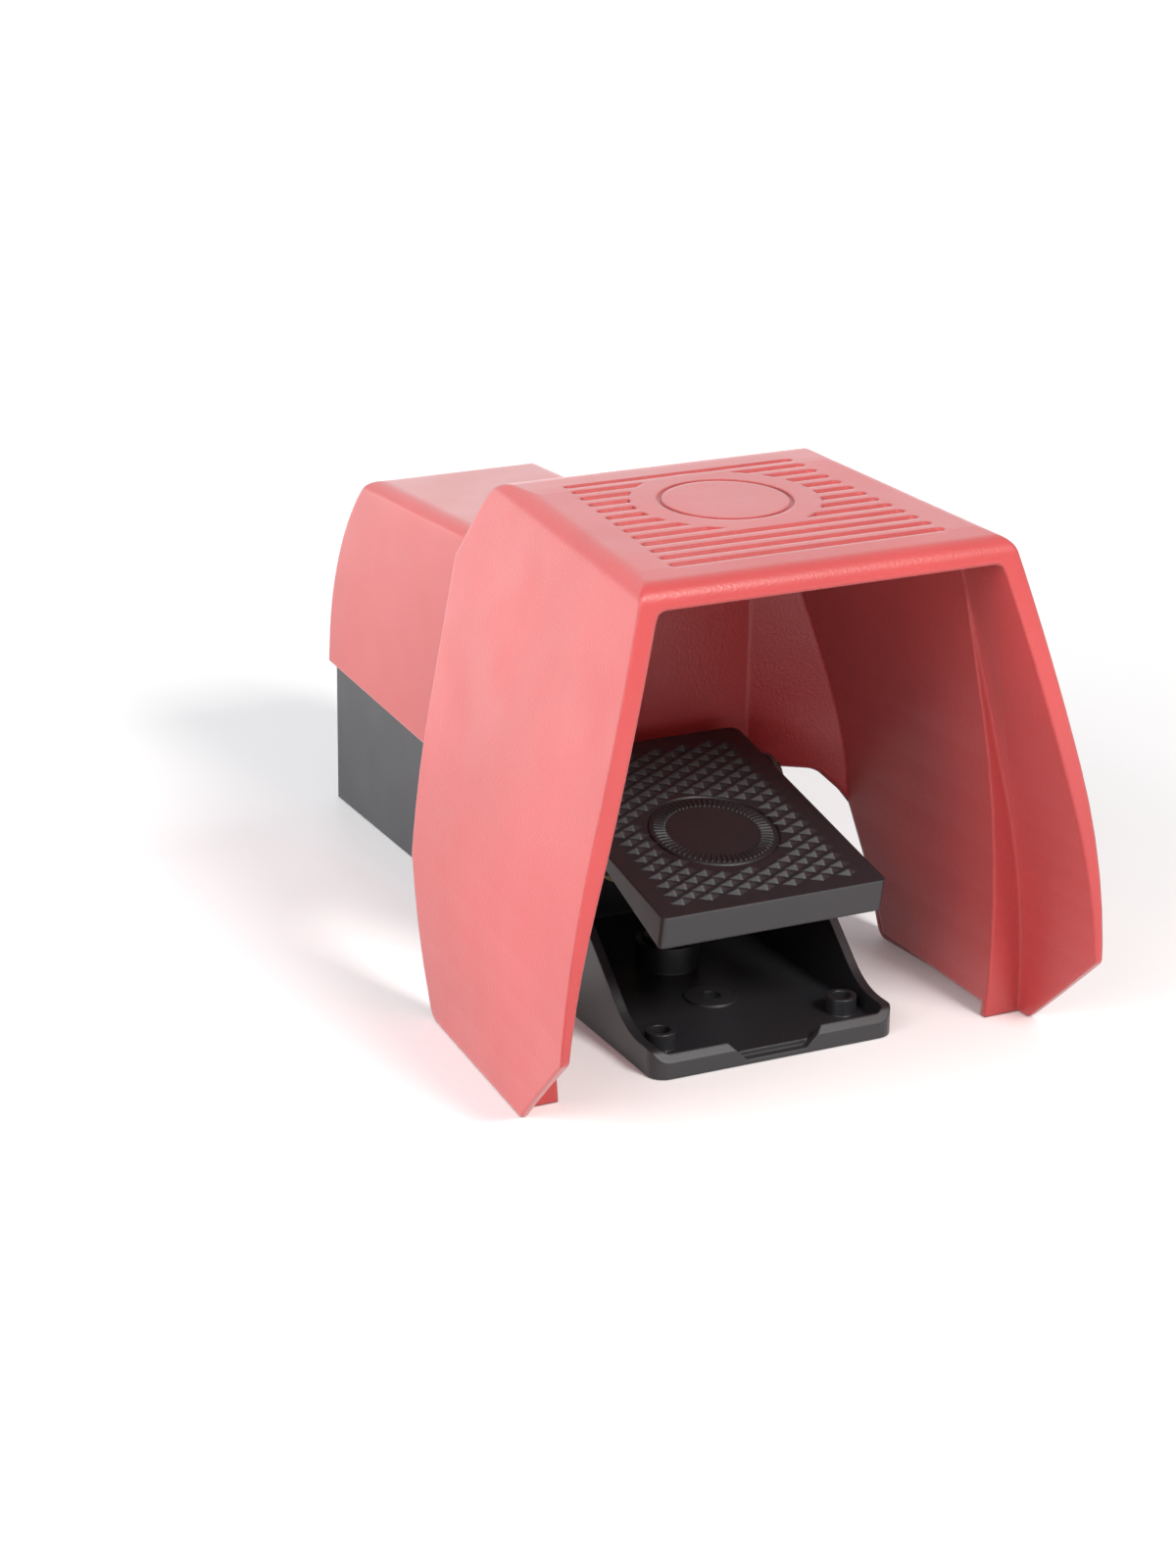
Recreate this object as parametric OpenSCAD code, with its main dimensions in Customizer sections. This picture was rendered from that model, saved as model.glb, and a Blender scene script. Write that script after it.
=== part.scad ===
// Foot switch with a guard hood: a sprung pedal in a tray, a contact chamber behind it and a
// flared hood over the foot. +Z is up, the foot comes in from -Y, millimetres throughout.
// The origin lies on the floor, in the middle of the overall width and length.

/* [Lower housing] */
// Length of the lower housing, from the front edge of the tray to the rear wall
base_len = 242; // [230:1:260]
// Width of the tray under the pedal
tray_w = 75.6; // [72:0.2:80]
// Width of the rear box that holds the contacts
box_w = 61; // [58:0.5:66]
// Where the rear box begins, behind the front edge of the tray
box_front = 104.8; // [103:0.2:108]
// Wall of the lower housing
base_wall = 2.7; // [2.2:0.1:3.2]
// Floor of the lower housing
floor_t = 3; // [2.5:0.1:4]
// Height of the seam under the rear cover, at the rear wall
seam_z = 45.4; // [42:0.2:50]
// Fall of the seam towards the front, in degrees
seam_fall = 2.75; // [0:0.05:4]
// Height of the front rim of the tray
rim_h = 4.8; // [4:0.1:6]
// Height of the side walls of the tray at the front
tray_side_h = 8; // [7:0.1:9]
// Radius of the front corners of the tray
tray_r = 5; // [4:0.5:8]
// Width of the drain notch at the top of the front rim
notch_w = 25.4; // [20:0.2:30]

/* [Pedal] */
// Length of the pedal plate along its slope
pedal_len = 90; // [85:0.5:92]
// Height of the front top edge of the pedal at rest
pedal_z = 46; // [44:0.5:50]
// Distance of the pedal's front edge behind the tray's front edge
pedal_y = 2.9; // [2:0.1:5]
// Rise of the pedal plate towards the rear, in degrees
pedal_tilt = 10.5; // [9:0.1:12]
// Thickness of the pedal plate
plate_t = 4.5; // [4:0.1:5.5]
// Depth of the pedal's front edge
lip_t = 9.6; // [8:0.1:11]
// Side gap between the pedal and the tray walls
pedal_gap = 0.6; // [0.4:0.1:1]
// Height of the pivot above the floor
pivot_z = 49; // [48:0.2:50.5]
// Distance of the pivot behind the tray's front edge
pivot_y = 82; // [80:0.5:84]
// Diameter of the pivot shaft
shaft_d = 8; // [6:0.5:8.5]
// Travel of the pedal, in degrees
pedal_travel = 12; // [8:0.5:12]

/* [Guard hood] */
// Reach of the hood in front of the tray
hood_reach = 33.5; // [28:0.5:40]
// Width of the hood at its front edge
hood_w = 165; // [160:1:172]
// Height of the hood's top over the tray's front edge
hood_h = 148.9; // [144:0.1:154]
// Wall of the front lip at the foot of the hood
lip_wall = 1.9; // [1.6:0.1:2.4]
// Spread of the front lip, in degrees
lip_flare = 5; // [4.4:0.1:6]
// Width of the rims that the hood stands on
foot_rim = 4.8; // [4:0.1:6]
// Least wall of the hood behind the lip
hood_skin = 5; // [4:0.1:5.5]
// Thickness of the hood's top
hood_top_t = 6.8; // [5.5:0.1:7.5]
// Narrowing of each side of the hood towards the rear, in degrees
hood_taper = 4.3; // [3:0.1:5]
// Rise of the hood's top towards the rear, in degrees
hood_rise = 0.9; // [0:0.1:1.5]
// Radius of the upper side edges of the hood
hood_edge_r = 5.5; // [4:0.5:8]
// Radius between the hood's top and its rear roof
hood_back_r = 17; // [12:0.5:20]
// Half width between the thick inner walls at the floor
liner_half = 67.8; // [66:0.2:69]
// Grooves across the hood's top
groove_n = 13; // [5:2:15]
// Width of one groove
groove_w = 2.8; // [2:0.1:3.4]
// Depth of the grooves
groove_d = 1.2; // [0.6:0.1:1.6]

/* [Rear cover] */
// How far the rear cover stands out over the lower housing
cover_lip = 1.5; // [1:0.1:2]
// Wall of the rear cover
cover_wall = 2.8; // [2.4:0.1:3.2]
// Height of the cover's top where it meets the hood
cover_h = 118.5; // [112:0.5:122]
// Fall of the cover's top towards the rear, in degrees
cover_fall = 3.3; // [2:0.1:5]
// Radius of the rounded rear of the cover
cover_rear_r = 80; // [74:1:90]
// Radius between the cover's top and its rear
cover_top_r = 14.5; // [12:0.5:18]
// Draft of the cover's sides, in degrees
cover_draft = 2.2; // [0:0.1:3]

/* [Fixings and cable entries] */
// Diameter of the holes that fix the switch to the floor
fixing_d = 5.5; // [4.5:0.1:6.5]
// Distance between the two front fixing holes
fixing_pitch = 57; // [50:1:58]
// Distance of the front fixing holes behind the tray's front edge
fixing_y = 15; // [13:0.5:20]
// Distance of the middle fixing hole behind the tray's front edge
fixing_mid_y = 39; // [34:0.5:42]
// Bore of the cable entries
entry_d = 18.5; // [15:0.1:19]
// Height of the cable entries above the floor
entry_z = 21; // [19:0.5:24]
// Distance between the two cable entries
entry_pitch = 28; // [27:0.5:30]
// Depth of the thread in a cable entry
entry_len = 10; // [8:0.5:14]
// Diameter of the cover and hood screws
screw_d = 4; // [3:0.1:4.4]

/* [Contact insert] */
// Width of the contact block
block_w = 32; // [30:1:36]
// Length of the contact block
block_len = 54; // [52:1:60]
// Diameter of the plunger that the pedal pushes
plunger_d = 8; // [6:0.5:9]
// Distance of the plunger below the pivot
plunger_drop = 22.5; // [21:0.5:23.5]

/* [Hidden] */

$fn = 64;
eps = 0.01;
far = 400;                 // longer than the whole object

// Overall frame
front_y = -hood_reach;
rear_y = base_len + cover_lip;
mid_y = (front_y + rear_y) / 2;
module in_frame() { translate([0, -mid_y, 0]) children(); }

// Profiles drawn as (y, z) and carried across the width, or as (x, z) and carried to the rear
module across(half) { rotate([90, 0, 90]) translate([0, 0, -half]) linear_extrude(2 * half) children(); }
module across_from(x0, x1) {
    rotate([90, 0, 90]) translate([0, 0, x0]) linear_extrude(x1 - x0) children();
}
module to_rear(y0, y1) {
    translate([0, y1, 0]) rotate([90, 0, 0]) linear_extrude(y1 - y0) children();
}
module rod_x(r, x0, x1) { translate([x0, 0, 0]) rotate([0, 90, 0]) cylinder(r = r, h = x1 - x0); }
module rod_y(r, y0, y1) { translate([0, y1, 0]) rotate([90, 0, 0]) cylinder(r = r, h = y1 - y0); }

// A corner of a polygon rounded with radius r, and a polygon with a radius for each corner
function unit(v) = v / norm(v);
function arc_at(p, q, s, r, n) =
    let (a = unit(p - q), b = unit(s - q), half = acos(a * b) / 2,
         centre = q + unit(a + b) * r / sin(half),
         from = q + a * r / tan(half) - centre,
         turn = (a[0] * b[1] - a[1] * b[0] > 0 ? -1 : 1) * (180 - 2 * half))
    [for (i = [0:n]) let (t = turn * i / n)
        centre + [from[0] * cos(t) - from[1] * sin(t), from[0] * sin(t) + from[1] * cos(t)]];
function rounded(points, radii, n = 6) =
    let (count = len(points))
    [for (i = [0:count - 1])
        let (before = points[(i + count - 1) % count], after = points[(i + 1) % count])
        for (p = radii[i] == 0 ? [points[i]] : arc_at(before, points[i], after, radii[i], n))
            p];
function arc_points(centre, r, a0, a1, n) =
    [for (i = [0:n]) let (a = a0 + (a1 - a0) * i / n) centre + r * [cos(a), sin(a)]];

// ---------------------------------------------------------------- lower housing
tray_half = tray_w / 2;
tray_in = tray_half - base_wall;
box_half = box_w / 2;
box_in = box_half - base_wall;
tongue_h = 2.5;            // the rim of the lower housing reaches this far up inside the cover
gasket_t = 1.2;
ear_r = 7;
ear_boss = 2;              // the bearing ears are this much thicker than the wall
bush_r = 5.5;
bush_flange_r = 7;
bush_flange_t = 1.2;
box_corner_r = 3;
post_r = 4.6;
post_x = box_in - 3.4;
post_front_y = box_front + 9;
post_rear_y = base_len - 17;
head_h = 2.6;              // screw head height
head_r = screw_d * 0.92;

module seam_frame() { translate([0, base_len, seam_z]) rotate([seam_fall, 0, 0]) children(); }
module above_seam(h) {
    seam_frame() translate([-far / 2, -far, h]) cube([far, 2 * far, far]);
}
module plan_box(half, y0, y1, r) {
    translate([0, 0, -far / 4]) linear_extrude(far)
        polygon(rounded([[-half, y0], [half, y0], [half, y1], [-half, y1]], [0, 0, r, r]));
}
module under_floor_cut() { translate([-far / 2, -far / 2, -far]) cube([far, 2 * far, far]); }
function seam_at(y) = seam_z - (base_len - y) * tan(seam_fall);

// Side walls of the tray: low at the front, sweeping up to the bearing ears
wall_rise_y = 17;
wall_bend = [40, 27];
front_rim_t = 2;
module tray_side_profile() {
    ear_top = pivot_z + ear_r;
    rear_y = box_front + base_wall;
    rear_z = seam_at(box_front);
    polygon(rounded([[0, 0], [rear_y, 0], [rear_y, rear_z],
                     [pivot_y + ear_r + 1, rear_z], [pivot_y + ear_r, ear_top],
                     [pivot_y - ear_r, ear_top], wall_bend, [wall_rise_y, tray_side_h],
                     [3, tray_side_h], [0, rim_h]],
                    [0, 0, 0, 4, ear_r - 0.1, ear_r - 0.1, 16, 22, 3, 0], 8));
}
module tray_plan(half, y0, corner) {
    y1 = box_front + base_wall;
    translate([0, 0, -1]) linear_extrude(far)
        polygon(rounded([[-half, y0], [half, y0], [half, y1], [-half, y1]], [corner, corner, 0, 0]));
}
notch_z = 1.4;             // the drain notch ends this far above the floor
module notch_outline() {
    low = notch_w / 2 - rim_h + notch_z;
    high = notch_w / 2 + 4;
    polygon([[-low, notch_z], [low, notch_z], [high, rim_h + 4], [-high, rim_h + 4]]);
}
module tray_shell() {
    difference() {
        intersection() {
            across(tray_half) tray_side_profile();
            tray_plan(tray_half, 0, tray_r);
        }
        intersection() {
            translate([-far / 2, 0, floor_t]) cube([far, box_front, far]);
            tray_plan(tray_in, front_rim_t, tray_r - front_rim_t);
        }
        to_rear(-1, front_rim_t + 0.5) notch_outline();
    }
}
module box_shell() {
    difference() {
        plan_box(box_half, box_front, base_len, box_corner_r);
        translate([0, 0, floor_t + far / 4])
            plan_box(box_in, box_front + base_wall, base_len - base_wall, box_corner_r - 1);
        above_seam(tongue_h);
        under_floor_cut();
    }
}
module post_spots() {
    for (x = [-1, 1]) for (y = [post_front_y, post_rear_y]) translate([x * post_x, y, 0]) children();
}
spring_y = 66;
spring_r = 7;
spring_wire = 1.6;
spring_seat_z = 7;
spring_cup_h = 4;
plunger_z = pivot_z - plunger_drop;
guide_r = 7;
buffer_x = 16;
buffer_z = pivot_z - 16;
buffer_stem_r = 2.5;
plate_z0 = floor_t + 4;    // top of the bosses under the mounting plate
plate_screw_x = 19;
insert_y0 = box_front + 20;
block_y0 = insert_y0 + 4;
plate_y1 = block_y0 + block_len + 4;
module plate_spots() {
    for (x = [-1, 1]) for (y = [insert_y0 + 3, plate_y1 - 3])
        translate([x * plate_screw_x, y, 0]) children();
}
earth_y = plate_y1 + 12;

module fixing_spots() {
    for (s = [-1, 1]) translate([s * fixing_pitch / 2, fixing_y, 0]) children();
}
module entry_spots() {
    for (s = [-1, 1]) translate([s * entry_pitch / 2, 0, entry_z]) children();
}
module buffer_spots() {
    for (s = [-1, 1]) translate([s * buffer_x, 0, buffer_z]) children();
}
fixing_boss_h = 8;
module base() {
    color([0.13, 0.13, 0.14]) in_frame() difference() {
        union() {
            tray_shell();
            box_shell();
            // bearing ears stand proud outside the walls
            for (s = [0, 1]) mirror([s, 0, 0]) translate([0, pivot_y, pivot_z])
                rod_x(ear_r, tray_half - 1, tray_half + ear_boss);
            // screw posts, plate bosses and the earth boss in the box
            intersection() {
                union() {
                    post_spots() cylinder(r = post_r, h = far);
                    plate_spots() cylinder(r = 3.4, h = plate_z0);
                    translate([0, earth_y, 0]) cylinder(r = 5, h = floor_t + 5);
                }
                difference() {
                    plan_box(box_half - 1, box_front + 1, base_len - 1, box_corner_r);
                    above_seam(tongue_h);
                    under_floor_cut();
                }
            }
            // thread bosses of the cable entries
            entry_spots() rod_y(entry_d / 2 + 2.4, base_len - entry_len, base_len - 1);
            // cup for the return spring
            translate([0, spring_y, 0]) cylinder(r = spring_r + 2.4, h = spring_seat_z + spring_cup_h);
            // bosses of the fixing holes
            fixing_spots() cylinder(r = fixing_d / 2 + 1.6, h = fixing_boss_h);
            translate([0, fixing_mid_y, 0]) cylinder(r = fixing_d / 2 + 5, h = floor_t + 0.6);
        }
        translate([0, pivot_y, pivot_z]) rod_x(bush_r, -far, far);
        // seat and guide bore of the plunger, seats of the stop buffers
        translate([0, 0, plunger_z]) rod_y(guide_r, box_front - 1, box_front + base_wall + 1);
        buffer_spots() rod_y(buffer_stem_r, box_front - 1, box_front + base_wall + 1);
        // cable entries
        entry_spots() rod_y(entry_d / 2, base_len - entry_len - 1, base_len + 1);
        // cover screws come up from below
        post_spots() translate([0, 0, -1]) {
            cylinder(r = screw_d / 2 + 0.3, h = far);
            cylinder(r = head_r + 0.4, h = head_h + 2.4);
        }
        plate_spots() translate([0, 0, plate_z0 - 4]) cylinder(r = 1.25, h = 5);
        translate([0, earth_y, floor_t]) cylinder(r = 1.7, h = far);
        translate([0, spring_y, spring_seat_z]) cylinder(r = spring_r + 0.3, h = far);
        // fixing holes
        fixing_spots() translate([0, 0, -1]) cylinder(r = fixing_d / 2, h = far);
        translate([0, fixing_mid_y, -1]) cylinder(r = fixing_d / 2, h = far);
    }
}

// ---------------------------------------------------------------- rear cover
cover_half = box_half + cover_lip - 0.2;
cover_y0 = box_front - cover_lip + 0.2;
cover_edge_r = 4.5;        // upper side edges
roof_slope = 61.3;         // slope of the hood's rear roof against the floor
roof_y = 97.2;             // a point of that roof
roof_z = 124;
function roof_at(z) = roof_y - (z - roof_z) / tan(roof_slope);
module cover_section(inset) {
    low = 20;
    top = cover_h - inset;
    half_low = cover_half - inset + (seam_z - low) * tan(cover_draft);
    half_top = half_low - (top - low) * tan(cover_draft);
    r = cover_edge_r - inset / 2;
    polygon(rounded([[-half_low, low], [half_low, low], [half_top, top], [-half_top, top]], [0, 0, r, r]));
}
// Side outline: a flat top that falls to the rear, a round upper edge, a bowed rear upright at
// the foot, and a front that leans against the hood's roof
cover_rear_z = 52;
function cover_outline(inset) =
    let (centre = [rear_y - cover_rear_r, cover_rear_z], r = cover_rear_r - inset,
         edge_r = cover_top_r - inset, along = [cos(cover_fall), -sin(cover_fall)],
         up = [sin(cover_fall), cos(cover_fall)],
         start = [cover_y0, 0] + (cover_h - inset - edge_r) * up, b = (start - centre) * along,
         reach = (r - edge_r) * (r - edge_r) - (start - centre) * (start - centre) + b * b,
         edge = start + (sqrt(reach) - b) * along, turn = atan2(edge[1] - centre[1], edge[0] - centre[0]))
    concat([[0, 0], [rear_y - inset, 0]], arc_points(centre, r, 0, turn, 14),
           arc_points(edge, edge_r, turn, 90 - cover_fall, 10),
           [start + (edge_r + eps) * up - 40 * along]);
module cover_body(inset) {
    lean = inset / sin(roof_slope);
    intersection() {
        translate([0, cover_y0, 0]) rotate([-cover_fall, 0, 0]) to_rear(-60, far) cover_section(inset);
        across(far / 4) intersection() {
            polygon(cover_outline(inset));
            polygon([[cover_y0 + inset, 0], [far, 0], [far, far], [roof_at(far) + lean, far],
                     [cover_y0 + inset, roof_z - (cover_y0 + inset - lean - roof_y) * tan(roof_slope)]]);
        }
        above_seam(inset > 0 ? -5 : 0);
    }
}
module cover_skirt_cut() {
    // the skirt laps over the rim of the lower housing; the gasket lies above the rim
    difference() {
        plan_box(box_half + 0.15, box_front - 0.15, base_len + 0.15, box_corner_r);
        above_seam(tongue_h + gasket_t);
    }
}
hood_boss_x = 18;
hood_boss_r = 5.5;
hood_boss_z = [66, 98];
module hood_boss_spots() {
    for (x = [-1, 1]) for (z = hood_boss_z) translate([x * hood_boss_x, 0, z]) children();
}
module rear_cover() {
    color([0.86, 0.33, 0.32]) in_frame() difference() {
        union() {
            difference() {
                cover_body(0);
                cover_body(cover_wall);
            }
            // screw posts stand on those of the lower housing, inside the gasket
            intersection() {
                cover_body(cover_wall / 2);
                above_seam(tongue_h + 0.1);
                post_spots() cylinder(r = post_r, h = far);
                union() {
                    above_seam(tongue_h + gasket_t);
                    plan_box(box_in, box_front + base_wall, base_len - base_wall, box_corner_r - 1);
                }
            }
        }
        cover_skirt_cut();
        post_spots() cylinder(r = screw_d / 2, h = seam_z + 16);
        hood_boss_spots() rod_y(hood_boss_r + 0.2, cover_y0 - 1, cover_y0 + cover_wall + 1);
    }
}
module cover_gasket() {
    rim = base_wall - 0.2;
    color([0.1, 0.1, 0.1]) in_frame() intersection() {
        difference() {
            plan_box(box_half - 0.2, box_front + 0.2, base_len - 0.2, box_corner_r);
            plan_box(box_half - rim, box_front + rim, base_len - rim, box_corner_r - 1);
            above_seam(tongue_h + gasket_t);
        }
        above_seam(tongue_h);
    }
}
module screw(len, r, hr, hh) {
    // drive recess upwards, head at the top, shank downwards from z = 0
    difference() {
        union() {
            translate([0, 0, -len]) cylinder(r = r, h = len);
            cylinder(r = hr, h = hh);
        }
        translate([0, 0, hh - 1.3]) cylinder(r = hr * 0.5, h = 2, $fn = 6);
    }
}
module cover_screws() {
    color([0.75, 0.76, 0.78]) in_frame() post_spots() translate([0, 0, head_h + 1.4])
        mirror([0, 0, 1]) screw(seam_z + 6, screw_d / 2 - 0.05, head_r, head_h);
}

// ---------------------------------------------------------------- guard hood
// Half section of the hood: a bowed flank, straight further up and leaning inwards, a rounded
// upper edge and a flat top. It reaches past the middle, where the two halves are trimmed.
flank_arc_z = 15;
flank_r = 265;
flank_lean = 15.3;
hood_half = hood_w / 2 - hood_reach * tan(hood_taper);
past_mid = 30;
under_floor = 20;
module half_section(half, arc_z, r, lean, top, edge_r) {
    centre = [half - r, arc_z];
    bend = centre + r * [cos(lean), sin(lean)];
    edge = [bend[0] - (edge_r + sin(lean) * (top - edge_r - bend[1])) / cos(lean), top - edge_r];
    polygon(concat([[-past_mid, -under_floor]],
                   arc_points(centre, r, asin(-(under_floor + arc_z) / r), lean, 10),
                   arc_points(edge, edge_r, lean, 90, 8),
                   [[-past_mid, top]]));
}
module both_halves(spread) {
    for (s = [0, 1]) mirror([s, 0, 0]) intersection() {
        rotate([hood_rise, 0, 0]) rotate([0, 0, spread]) to_rear(-80, 160) children();
        translate([0, -far, -far]) cube([far, 2 * far, 2 * far]);
    }
}
module hood_halves(inset, top_inset, edge_r) {
    half = hood_half - inset;
    both_halves(hood_taper)
        half_section(half, flank_arc_z, flank_r - inset, flank_lean, hood_h - top_inset, edge_r);
}
// Side outline: floor edge, raised pointed front corner, bowed front edge, crowned top with
// rounded ends and a roof that falls to the rear
tip_y = -4.6;
front_corner_z = 27;
heel_y = 64.4;
heel_top = [83, 41];
arch_z = 47;
roof_end = 115;
bow_r = 459;
bow_z = 40;
crown_r = 724;
crown_y = 36.8;
crown_rise = 1.4;          // height of the crown over hood_h
function bow_at(z) = bow_r - hood_reach - sqrt(bow_r * bow_r - (z - bow_z) * (z - bow_z));
function crown_at(y) =
    hood_h + crown_rise - crown_r + sqrt(crown_r * crown_r - (y - crown_y) * (y - crown_y));
function hood_outline() =
    let (corner_y = roof_at(crown_at(roof_at(hood_h))),
         low = [[bow_at(front_corner_z), front_corner_z], [tip_y, 0], [heel_y, 0], heel_top,
                heel_top + [4, arch_z - heel_top[1]], [roof_end, arch_z],
                [roof_end, roof_z - (roof_end - roof_y) * tan(roof_slope)], [corner_y, crown_at(corner_y)]],
         crown = [for (y = [65:-13:0]) [y, crown_at(y)]],
         top_z = crown_at(bow_at(hood_h)),
         bow = [for (z = [top_z - 9:-8:front_corner_z + 6]) [bow_at(z), z]])
    rounded(concat(low, crown, [[bow_at(top_z), top_z]], bow),
            concat([3, 2, 5, 8, 3, 0, 0, hood_back_r], [for (p = crown) 0], [6], [for (p = bow) 0]), 8);
// Plan: the rear corners are cut back to the width of the rear cover
back_y = cover_y0;
chamfer_slope = 34.4;
chamfer_x = 71.5;
chamfer_y = 84.5;
module hood_plan(inset) {
    y1 = back_y - inset;
    shift = inset / cos(chamfer_slope);
    x_back = chamfer_x - (y1 - chamfer_y + shift) / tan(chamfer_slope);
    x_wide = 120;
    y_wide = chamfer_y - shift - (x_wide - chamfer_x) * tan(chamfer_slope);
    translate([0, 0, -10]) linear_extrude(far)
        polygon([[-x_wide, -80], [x_wide, -80], [x_wide, y_wide],
                 [x_back, y1], [-x_back, y1], [-x_wide, y_wide]]);
}
// Inner room: straight walls, steeper than the outside
liner_arc_z = 25;
liner_r = 330;
liner_lean = 11.5;
module liner_section() {
    centre = [liner_half - liner_r, liner_arc_z];
    bend = centre + liner_r * [cos(liner_lean), sin(liner_lean)];
    top = hood_h + 40;
    low = asin(-(under_floor + liner_arc_z) / liner_r);
    flank = concat(arc_points(centre, liner_r, low, liner_lean, 8),
                   [[bend[0] - (top - bend[1]) * tan(liner_lean), top]]);
    polygon(concat(flank, [for (i = [len(flank) - 1:-1:0]) [-flank[i][0], flank[i][1]]]));
}
module hood_room() {
    roof_in = hood_skin / sin(roof_slope);
    low_z = roof_z - (120 + roof_in - roof_y) * tan(roof_slope);
    intersection() {
        to_rear(-80, 160) liner_section();
        hood_halves(hood_skin, hood_top_t, 4);
        hood_plan(hood_skin);
        across(far / 4) polygon([[-80, -30], [120, -30], [120, low_z],
                                 [roof_at(165) - roof_in, 165], [-80, 165]]);
    }
}
// In front of the step the room is wider: straight first, then spreading with the lip
step_y = 0;
mouth_arc_z = 8;
mouth_r = 230;
mouth_lean = 14.9;
flare_lean = 15.6;
flare_set = 0.4;           // the flare starts this much inside the straight part
module hood_mouth() {
    half = hood_half - lip_wall;
    top = hood_h - hood_top_t;
    intersection() {
        union() {
            both_halves(0) half_section(half, mouth_arc_z, mouth_r, mouth_lean, top, 4);
            both_halves(lip_flare)
                half_section(half - flare_set, mouth_arc_z, mouth_r, flare_lean, top, 4);
        }
        translate([-far / 2, -far, -far / 2]) cube([far, far + step_y, far]);
    }
}
// The thick inner walls end above the floor, so that the hood stands on its outer rims
foot_web = 2.5;
module hood_foot_cut() {
    intersection() {
        across(far / 4)
            polygon([[step_y + foot_web, -under_floor], [step_y + foot_web, 4], [57.5, 4], [60, 7.6],
                     [71, 22.7], [82, 38], [roof_end, 38], [roof_end, -under_floor]]);
        hood_halves(foot_rim, hood_top_t, 4);
    }
}
// Grooved panel on the top with a round clear field
panel_y0 = -9;
panel_y1 = 70;
panel_half_front = 41;
field_y = 40;
field_r = 26;
ring_r = 18;
groove_pitch = (panel_y1 - panel_y0) / groove_n;
module round_bar(half_len, half_w) {
    r = half_w - 0.1;
    polygon(rounded([[-half_len, -half_w], [half_len, -half_w], [half_len, half_w], [-half_len, half_w]],
                    [r, r, r, r], 4));
}
module top_grooves() {
    rotate([hood_rise, 0, 0]) translate([0, 0, hood_h - groove_d]) {
        difference() {
            for (i = [0:groove_n - 1]) {
                y = panel_y0 + groove_pitch * (i + 0.5);
                half = panel_half_front - (y - panel_y0) * tan(hood_taper);
                translate([0, y, 0]) linear_extrude(5) round_bar(half, groove_w / 2);
            }
            translate([0, field_y, -1]) cylinder(r = field_r, h = 10);
        }
        translate([0, field_y, groove_d / 2]) difference() {
            cylinder(r = ring_r + 0.6, h = 5);
            translate([0, 0, -1]) cylinder(r = ring_r - 0.6, h = 10);
        }
    }
}
module guard_hood() {
    color([0.86, 0.30, 0.29]) in_frame() difference() {
        union() {
            difference() {
                intersection() {
                    hood_halves(0, 0, hood_edge_r);
                    across(far / 4) polygon(hood_outline());
                    hood_plan(0);
                }
                hood_room();
                hood_mouth();
                hood_foot_cut();
                top_grooves();
            }
            hood_boss_spots() rod_y(hood_boss_r, back_y - 1, back_y + cover_wall - 0.3);
        }
        hood_boss_spots() rod_y(screw_d / 2, back_y - hood_skin + 1, back_y + 20);
    }
}
module hood_screws() {
    face_y = cover_y0 + cover_wall + 1;
    color([0.75, 0.76, 0.78]) in_frame() hood_boss_spots() translate([0, face_y, 0]) {
        rotate([-90, 0, 0]) screw(cover_wall + 3, screw_d / 2 - 0.05, head_r, head_h);
        difference() {
            rod_y(hood_boss_r + 2, -1, 0);
            rod_y(screw_d / 2, -2, 1);
        }
    }
}

// ---------------------------------------------------------------- pedal and its bearing
pedal_half = tray_in - pedal_gap;
hub_r = ear_r - 0.5;
disc_y = 38;
disc_r = 19;
skirt_w = 2.6;
arm_half = 7;
nose_r = 5;
lug_half = 5;
lug_rear = 5.4;            // the stop lugs reach this far behind the pivot
tip_gap = 0.3;             // play between the pedal's nose and the plunger
stop_gap = 0.15;
module plate_frame() { translate([0, pedal_y, pedal_z]) rotate([pedal_tilt, 0, 0]) children(); }
function plate_top(y) = pedal_z + (y - pedal_y) * tan(pedal_tilt);
rib_t = 1.8;
arm_y = pivot_y + nose_r - 1;
module pedal_plate() {
    plan = rounded([[-pedal_half, 0], [pedal_half, 0], [pedal_half, pedal_len], [-pedal_half, pedal_len]],
                   [1.5, 1.5, 3, 3], 6);
    intersection() {
        translate([0, 0, -20]) linear_extrude(20) polygon(plan);
        union() {
            translate([-far / 2, -1, -plate_t]) cube([far, far, far]);
            // deeper front edge and sides
            difference() {
                across(far / 2) polygon([[-1, 1], [-1, -lip_t], [1, -lip_t], [36, -plate_t],
                                         [far, -plate_t], [far, 1]]);
                translate([-pedal_half + skirt_w, skirt_w, -20])
                    cube([2 * (pedal_half - skirt_w), far, 20]);
            }
            // stiffening ribs under the plate
            for (x = [-22, -11, 0, 11, 22]) across_from(x - rib_t / 2, x + rib_t / 2)
                polygon([[1, -lip_t + 1.5], [36, -plate_t - 1.4], [66, -plate_t - 1.4],
                         [78, -plate_t - 3], [78, -1], [1, -1]]);
        }
    }
}
module pedal_webs() {
    for (s = [-1, 1]) for (x = [buffer_x - 4, pedal_half - 5.5]) across_from(s * x - 3, s * x + 3)
        polygon([[pivot_y - hub_r, pivot_z], [pivot_y + hub_r, pivot_z],
                 [pivot_y + hub_r, plate_top(pivot_y + hub_r) - 2],
                 [pivot_y - hub_r, plate_top(pivot_y - hub_r) - 2]]);
}
module push_arm() {
    across(arm_half) {
        translate([pivot_y, plunger_z]) circle(r = nose_r);
        polygon([[pivot_y - hub_r, pivot_z], [pivot_y - nose_r, plunger_z],
                 [arm_y, plunger_z], [arm_y, pivot_z]]);
    }
}
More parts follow.
